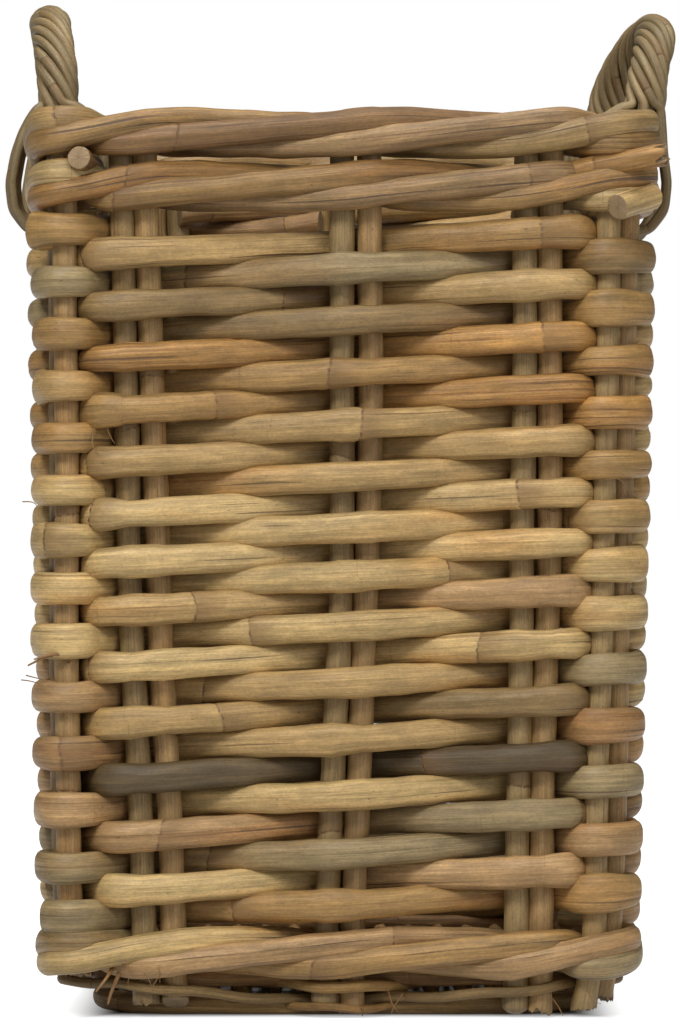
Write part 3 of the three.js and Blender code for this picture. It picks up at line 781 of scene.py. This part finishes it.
def add_cane_length(part, chase, groups):
    """One length of a randing cane past groups of stakes, counted from the chase's first wall."""
    name = "randing_cane_{}_{}".format(chase + 1, part)
    passes = []
    for group in groups:
        for i, post in enumerate(posts[group % GROUPS]):
            wall = group // 4 + i * post.corner
            side = 1 if (group + chase) % 2 else -1
            depth = CORNER_DEPTH if post.corner else CANE_DEPTH
            level = FIRST_ROW + ROW_PITCH * (wall - chase + 0.5)
            passes.append(beside(post, side, depth, level, wall=wall, group=group))
    passes = with_noses(passes)
    if part == "top":
        for reach in (TOP_LENGTH_REACH, 2 * TOP_LENGTH_REACH):
            passes.insert(0, dict(passes[0], centre=passes[0]["centre"] + (-reach, -0.5 * reach)))
    line, places, kept = route(passes)
    nearest = np.clip(np.rint(places).astype(int), 0, len(kept) - 1)
    wall = np.array([p["wall"] for p in kept])[nearest]
    along = np.array([along_wall(w, p) for w, p in zip(wall, line)])
    row = wall - chase + np.clip((along + CLIMB_LENGTH / 2) / CLIMB_LENGTH, 0, 1)
    z = FIRST_ROW + ROW_PITCH * row + np.interp(row, *np.transpose(ROW_SHIFTS))
    outness = carried(kept, places, "side")
    corner = carried(kept, places, "corner")
    z = softened(z - NOSE_DROP * corner * (outness < 0), 10 / STEP)
    fat = uneven(random_of(name), kept, places, 0.08)
    height = CROSSING_HEIGHT + (CANE_HEIGHT * fat - CROSSING_HEIGHT) * np.abs(outness) ** 0.8
    height = height * (1 - corner) + corner * CORNER_HEIGHT * fat
    width = CANE_DEPTH * (1 - corner) + corner * CORNER_DEPTH
    tones = np.array([float_tone(chase, group) for group in groups_seen(kept, places)])
    add_cane(name + "_visual", "weaving_canes", [name] if part != "top" else [],
             np.column_stack([line, z]), width / 2, height / 2, tones[:, :3], *level_frames(line),
             sides=28, boxy=2.3, lumps=0.042, cracks=11, knots=(240, 460), wear=tones[:, 3])


# Wales


def legs_of(name):
    """The places of a handle's two legs along its wall, from the model's core."""
    low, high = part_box(name + "_handle_core")
    ends = along_wall(HANDLES[name][0], np.array([[low.x, low.y], [high.x, high.y]]) / MM)
    return min(ends) + CORE_RADIUS, max(ends) - CORE_RADIUS


def with_legs():
    """The posts at the rim: the stakes, and the handle legs after the pair before them."""
    groups = [list(group) for group in posts]
    for name, (wall, *_) in HANDLES.items():
        for place, leg in enumerate(legs_of(name)):
            low = np.append(on_wall(wall, leg, HALF_RIM), 500.0)
            groups[4 * wall + place].append(Post(low, low + (0, 0, 100), CORE_RADIUS, False))
    return groups


def add_wale(name, groups, cuts, tones):
    """Three rods that pass outside two groups, rising, and inside the third, dropping."""
    middle = sum(corner.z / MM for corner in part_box(name + "_rod_1")) / 2
    for index, cut in enumerate(cuts):
        end = cuts[index + 1] if index < 2 else cuts[0] + 3 * GROUPS
        passes = []
        for group in range(cut, end + 1):
            phase = group % 3
            side = -1 if phase == 2 else 1
            around = groups[group % GROUPS]
            first, last, after = ROD_LEVELS[phase]
            for i, post in enumerate(around):
                depth = CORNER_DEPTH if post.corner else ROD_DEPTH
                level = first + (last - first) * (i / (len(around) - 1))
                passes.append(beside(post, side, depth, middle, level=level, group=group))
            if group < end:
                here, there = around[-1].at(middle), groups[(group + 1) % GROUPS][0].at(middle)
                gap = (here + there) / 2
                if phase == 0:
                    heading = math.atan2(*(there - here)[::-1])
                    gap = gap + right_of(heading) * (STAKE_RADIUS + ROD_DEPTH / 2)
                passes.append(dict(centre=gap, offset=0.0, side=0.5 if phase == 0 else 0.0,
                                   corner=False, level=after, group=group))
        rod = "{}_rod_{}".format(name, index + 1)
        line, places, kept = route(passes)
        level = softened(carried(kept, places, "level"), 16 / STEP)
        z = middle + ROD_RISE / 2 * ROD_RISE_MADE_UP * level
        corner = carried(kept, places, "corner")
        outness = np.abs(carried(kept, places, "side"))
        fat = uneven(random_of(rod), kept, places, 0.05)
        height = ROD_HEIGHT * fat * (0.86 + 0.14 * outness)
        width = ROD_DEPTH * (1 - corner) + corner * (CORNER_DEPTH + 1)
        words = [tones[(group // 3 + index) % len(tones)] for group in groups_seen(kept, places)]
        tone = np.array([linear(word) for word in words]) * (RIM_SHADE if "rim" in name else 1)
        add_cane(rod + "_visual", "wale_rods", [rod], np.column_stack([line, z]), width / 2, height / 2,
                 tone, *level_frames(line), sides=26, boxy=2.15, lumps=0.05, cracks=12, knots=(240, 440),
                 wear=0.6)


def add_stubs():
    """Cut and torn ends of the rim's canes that the photo shows beside the front corners."""
    for name, (root, tip, radius, finish, word) in STUBS.items():
        share = np.linspace(0, 1, 24)[:, None]
        ends = [np.append(on_wall(0, x, HALF_RIM + out), z) for x, out, z in (root, tip)]
        points = ends[0] + (ends[1] - ends[0]) * share
        add_cane(name, "wale_rods", [], points, radius, radius, linear(word) * 0.9, sides=24, boxy=2.0,
                 ends=("cut", finish), cracks=40, jag=4.5)


def add_fibres():
    """Hairs and splinters of cane that have come loose on the front wall."""
    hairs = [("loose_fibre_{}".format(i + 1), row, FIBRE_RADIUS) for i, row in enumerate(FIBRES)]
    splinters = [("splinter_{}".format(i + 1), row, SPLINTER_RADIUS) for i, row in enumerate(SPLINTERS)]
    for name, (x, z, tip_x, tip_z), radius in hairs + splinters:
        rng = random_of(name)
        share = np.linspace(0, 1, 20)
        bow = np.sin(math.pi * share) * rng.uniform(-0.3, 0.3) * math.hypot(tip_x - x, tip_z - z)
        lean = (HALF_RIM - HALF_FOOT) * (0.5 * (z + tip_z) / RIM_LEVEL - 1)
        out = HALF_RIM + lean + FIBRE_ROOT_OUT + FIBRE_STANDS_OUT * np.sin(math.pi / 2 * share)
        points = np.array([np.append(on_wall(0, a, o), h) for a, o, h in zip(
            x + (tip_x - x) * share + bow, out, z + (tip_z - z) * share + bow)])
        thin = radius * (1 - 0.6 * share)
        add_cane(name, "weaving_canes", [], points, thin, thin, linear("brown") * 0.9, sides=8,
                 lumps=0.0, cracks=0, knots=(400, 500), jag=0.3)


# Foot and base


def rounded_square(reach, corner, steps, start, end):
    """A level line round the middle, from a start near the middle of the back to its end there."""
    points = [on_wall(2, start, reach)]
    for wall in range(2, 6):
        for step in range(steps + 1):
            angle = math.pi / 2 * step / steps
            along, out = (reach - corner + corner * turn for turn in (math.sin(angle), math.cos(angle)))
            points.append(on_wall(wall, along, out))
    points.append(on_wall(2, end, reach))
    return even_steps(points, LONG_STEP)


def add_hoop():
    """The hoop the basket stands on, a square with round corners, its ends butted at the back."""
    low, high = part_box("foot_hoop")
    height = (high.z - low.z) / MM
    reach = (high.x - low.x) / 2 / MM - HOOP_WIDTH / 2
    line, _ = rounded_square(reach, HOOP_CORNER, 24, 0.5, -0.5)
    points = np.column_stack([line, np.full(len(line), height / 2)])
    tone = linear("olive") * 0.5 + linear("tan") * 0.45
    add_cane("foot_hoop_visual", "foot_and_base", ["foot_hoop"], points, HOOP_WIDTH / 2, height / 2,
             tone, *level_frames(line), lumps=0.02, cracks=14)


def add_twining():
    """Three thin strands that twine in and out through the stakes' feet and cross between them."""
    strands = (  # side at the first pair, radius, tone, and whether high or low there
        ("foot_twining_visual", 1, 3.9, "tan", 1.0),
        ("foot_twining_second", -1, 3.5, "olive", 1.0),
        ("foot_twining_third", 1, 2.6, "honey", -1.0),
    )
    for name, first, thick, word, sense in strands:
        passes = []
        for group in range(TWINING_START, TWINING_START + GROUPS + 2):
            for i, post in enumerate(posts[group % GROUPS]):
                side = -1 if post.corner else (first if group % 4 == 1 else -first)
                level = sense * first * (1 if group % 2 else -1)
                passes.append(beside(post, side, 2 * thick, TWINING_LOW, level=level))
        line, places, kept = route(passes, 5)
        share = 0.5 + 0.5 * softened(carried(kept, places, "level"), 22 / STEP)
        rng = random_of(name)
        z = TWINING_LOW + (TWINING_HIGH - TWINING_LOW) * share
        z = z + waves(rng, np.arange(len(z)) * STEP, (70, 130), 1.6)
        nodes = ["foot_twining_cane"] if name == strands[0][0] else []
        add_cane(name, "foot_and_base", nodes, np.column_stack([line, z]), thick, thick,
                 linear(word) * 0.9, *level_frames(line), sides=12, knots=(120, 260), cracks=3)


def add_sticks():
    """Four sticks across the hoop, which carry the weaver."""
    sticks = []
    for number in range(1, 5):
        name = "base_stick_{}".format(number)
        low, high = (np.array(corner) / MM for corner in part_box(name))
        middle = (low + high) / 2
        sticks.append(middle[1])
        x = np.arange(low[0] + 1, high[0], 4.0)
        points = np.column_stack([x, np.full(len(x), middle[1]), np.full(len(x), middle[2])])
        radius = (high[2] - low[2]) / 2
        add_cane(name + "_visual", "foot_and_base", [name], points, radius, radius,
                 linear("tan") * 0.9, sides=16, boxy=2.0)
    return sticks


def add_base_edge():
    """A ring inside the stakes that closes the base along its edge."""
    reach = centre[1] - posts[1][0].at(BASE_LEVEL)[1] - STAKE_RADIUS - EDGE_SIZE[0]
    line, even = rounded_square(reach, EDGE_CORNER, 12, 1, 0)
    points = np.column_stack([line, EDGE_LEVEL + waves(random_of("base edge"), even, (90, 160), 1.0)])
    add_cane("base_edge_cane", "foot_and_base", [], points, *EDGE_SIZE, linear("brown") * 0.9,
             *level_frames(line), sides=14, cracks=5)


def add_weaver(sticks):
    """One long weaver, packed tight over and under the sticks at the given places."""
    low, high = (np.array(corner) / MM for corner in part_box("base_weaver"))
    middle = (low[2] + high[2]) / 2
    lift = (high[2] - low[2]) / 2 - WEAVER_RADIUS
    half = (high[0] - low[0]) / 2 + 3
    count = int(2 * half / BASE_PITCH)
    pitch = 2 * half / count
    turn = pitch / 2
    edge = (high[1] - low[1]) / 2 + 2
    points = []
    for index in range(count + 1):
        x = centre[0] - half + pitch * index
        ahead = 1 if index % 2 == 0 else -1
        order = sticks if ahead > 0 else sticks[::-1]
        y = np.arange(-edge + turn, edge - turn, 5.0)
        phase = np.interp(ahead * y, [ahead * (w - centre[1]) for w in order],
                          [(-1) ** (sticks.index(w) + index) for w in order])
        for step, level in zip(y, phase):
            points.append((x, centre[1] + ahead * step, middle + lift * level))
        if index < count:
            for step in range(1, 6):
                angle = math.pi * step / 6
                points.append((x + turn * (1 - math.cos(angle)),
                               centre[1] + ahead * (edge - turn + turn * math.sin(angle)),
                               middle + lift * phase[-1] * math.cos(angle)))
    points, even = even_steps(points, LONG_STEP, 3.9)
    tone = np.array([linear(word) for word in ("tan", "honey", "brown", "olive")]) * 0.95
    places = np.arange(0, even[-1] + 300, 300)
    spots = np.interp(even, places, random_of("base weaver").uniform(0, 3, len(places)))
    tone = np.column_stack([np.interp(spots, range(4), tone[:, k]) for k in range(3)])
    add_cane("base_weaver_visual", "foot_and_base", ["base_weaver"], points, WEAVER_RADIUS,
             WEAVER_RADIUS, tone, sides=12, cracks=3, knots=(90, 240))


# Handles


def add_handle(name):
    """A bow of nine strands twisted round a core, some lashed down over the rim at each leg."""
    wall, near_out, far_out, top_out = HANDLES[name]
    near, far = legs_of(name)
    middle, half = (near + far) / 2, (far - near) / 2
    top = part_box(name + "_handle_winding")[1].z / MM
    rise = top - BOW_FOOT - STRAND_ORBIT - STRAND_THICK / 2
    share = np.linspace(0, 1, 141)
    angle = math.pi * share
    legs_out = near_out + (far_out - near_out) * (1 - np.cos(angle)) / 2
    out = HALF_RIM + legs_out + (top_out - (near_out + far_out) / 2) * np.sin(angle) ** 2
    flat = np.array([on_wall(wall, a, o) for a, o in zip(middle - half * np.cos(angle), out)])
    bow = np.column_stack([flat, BOW_FOOT + rise * np.sin(angle)])
    ahead = directions(bow)
    outward = np.append(turned(0, -1, wall), 0.0)
    side = outward - (ahead @ outward)[:, None] * ahead
    side /= np.linalg.norm(side, axis=1)[:, None]
    up = np.cross(ahead, side)

    def place(along, out, z):
        return np.append(on_wall(wall, along, HALF_RIM + out), z)

    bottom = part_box(name + "_handle_core")[0].z / MM

    def leg_of(leg, foot_out):
        heights = np.arange(bottom, BOW_FOOT, 6.0)
        return [place(leg, foot_out * max(0, 1 - (BOW_FOOT - z) / LEG_SWING), z) for z in heights]

    core = np.concatenate([leg_of(near, near_out), bow, leg_of(far, far_out)[::-1]])
    add_cane(name + "_handle_core_visual", "handle_cane", [name + "_handle_core"],
             even_steps(core, LONG_STEP, 5)[0], CORE_RADIUS, CORE_RADIUS, linear("handle") * 0.8,
             sides=16, boxy=2.0)

    def leg_end(leg, foot_out, sense, turn, rng):
        """A strand's way down from the bow's foot: over the rim on either side, or into it."""
        out, along = STRAND_ORBIT * math.cos(turn), sense * STRAND_ORBIT * math.sin(turn)
        if abs(math.cos(turn)) > LASHED_SHARE:
            lashing = OUTER_LASHING if out > 0 else INNER_LASHING
            reach = rng.uniform(-1.5, 1.5) - abs(along) * 0.25
            spread = np.linspace(1, 0.75, len(lashing))
            swing = foot_out * np.clip(0.9 - 0.28 * np.arange(len(lashing)), 0, 1)
            return [place(leg + along * wide, o + extra + np.sign(o) * reach * min(1, abs(o) / 20), z)
                    for (o, z), wide, extra in zip(lashing, spread, swing)]
        return [place(leg + along * 0.95, out * 0.9 + foot_out * share, z)
                for z, share in ((600, 0.75), (590, 0.45), (575, 0.1))]

    for number in range(STRANDS):
        rng = random_of("{} strand {}".format(name, number))
        start = 2 * math.pi * number / STRANDS + rng.uniform(-0.06, 0.06)
        turns = start + 2 * math.pi * STRAND_TURNS * share
        orbit = STRAND_ORBIT + waves(rng, share * 200, (60, 110), 0.5)
        helix = bow + side * (orbit * np.cos(turns))[:, None] + up * (orbit * np.sin(turns))[:, None]
        down_near = leg_end(near, near_out, 1, turns[0], rng)
        down_far = leg_end(far, far_out, -1, turns[-1], rng)
        points, _ = even_steps(np.concatenate([down_near[::-1], helix[3:-3], down_far]), 2.0, 3)
        tone = linear("handle") * rng.uniform(0.82, 1.12) + linear("tan") * rng.uniform(0, 0.12)
        thick = STRAND_THICK / 2 * rng.uniform(0.94, 1.05)
        add_cane("{}_handle_strand_{}".format(name, number + 1), "handle_cane",
                 [name + "_handle_winding"] if number == 0 else [], points, thick, thick, tone,
                 sides=12, boxy=2.0, knots=(90, 210), lumps=0.02, cracks=2)


add_stakes()
add_randing()
rim = with_legs()
add_wale("base_wale", posts, (5, 20, 38), ("tan", "pale", "pinkish", "grey"))
add_wale("lower_rim_wale", rim, (8, 26, 41), ("pinkish", "orange", "tan", "cream"))
add_wale("upper_rim_wale", rim, (2, 17, 35), ("pinkish", "tan", "brown", "straw"))
add_stubs()
add_fibres()
add_hoop()
add_twining()
base_sticks = add_sticks()
add_base_edge()
add_weaver(base_sticks)
for handle in HANDLES:
    add_handle(handle)


# Room, light and camera


def seen_by(n, *kinds):
    """1 for the named kinds of rays, else 0."""
    path = n.tree.nodes.new("ShaderNodeLightPath")
    seen = 0.0
    for kind in kinds:
        seen = n.math("MAXIMUM", seen, path.outputs["Is {} Ray".format(kind)])
    return seen


def add_stage():
    """A white floor, which the camera sees almost as bright as the world behind it."""
    mesh = bpy.data.meshes.new("floor")
    corners = [(x * FLOOR_REACH, y * FLOOR_REACH, 0) for x, y in ((-1, -1), (1, -1), (1, 1), (-1, 1))]
    mesh.from_pydata(corners, [], [(0, 1, 2, 3)])
    floor = placed("floor", mesh)
    material, n, shader = new_material("white_floor")
    place = n.tree.nodes.new("ShaderNodeNewGeometry").outputs["Position"]
    parts = n.add("ShaderNodeSeparateXYZ", Vector=place)
    away = n.math("MAXIMUM", *(n.math("ABSOLUTE", parts.outputs[axis]) for axis in "XY"))
    glow = n.ranged(away, *GLOW_STARTS, 0.0, FLOOR_GLOW)
    glow = n.math("MULTIPLY", seen_by(n, "Camera", "Glossy", "Transmission"), glow)
    n.feed(shader, Base_Color=(FLOOR_ALBEDO, FLOOR_ALBEDO, FLOOR_ALBEDO, 1), Roughness=0.9,
           Specular_IOR_Level=0, Emission_Color=(1, 1, 1, 1), Emission_Strength=glow)
    mesh.materials.append(material)


def add_lamp(name, place, target, power, size):
    lamp = bpy.data.lights.new(name, "AREA")
    lamp.energy = power
    lamp.shape = "DISK"
    lamp.size = size
    made = placed(name, lamp)
    made.location = place
    way = Vector(target) - Vector(place)
    made.rotation_euler = way.to_track_quat("-Z", "Y").to_euler()


def add_world():
    """A world that looks white and lights the basket only a little."""
    world = bpy.data.worlds.new("studio")
    world.use_nodes = True
    n = Nodes(world.node_tree)
    strength = n.ranged(seen_by(n, "Camera", "Transmission"), 0.0, 1.0, WORLD_LIGHT, 1.0)
    n.feed(world.node_tree.nodes["Background"], Color=(1, 1, 1, 1), Strength=strength)
    bpy.context.scene.world = world


def add_camera():
    camera = bpy.data.cameras.new("camera")
    camera.sensor_width = SENSOR
    camera.lens = FOCAL_PIXELS / PHOTO_LONG_SIDE * SENSOR
    made = placed("camera", camera)
    made.location = CAMERA_PLACE
    made.rotation_euler = (math.radians(90 - CAMERA_DROP), 0, 0)
    bpy.context.scene.camera = made


add_stage()
add_world()
for lamp_name, lamp in LAMPS.items():
    add_lamp(lamp_name, *lamp)
add_camera()
bpy.context.scene.view_settings.view_transform = "Standard"
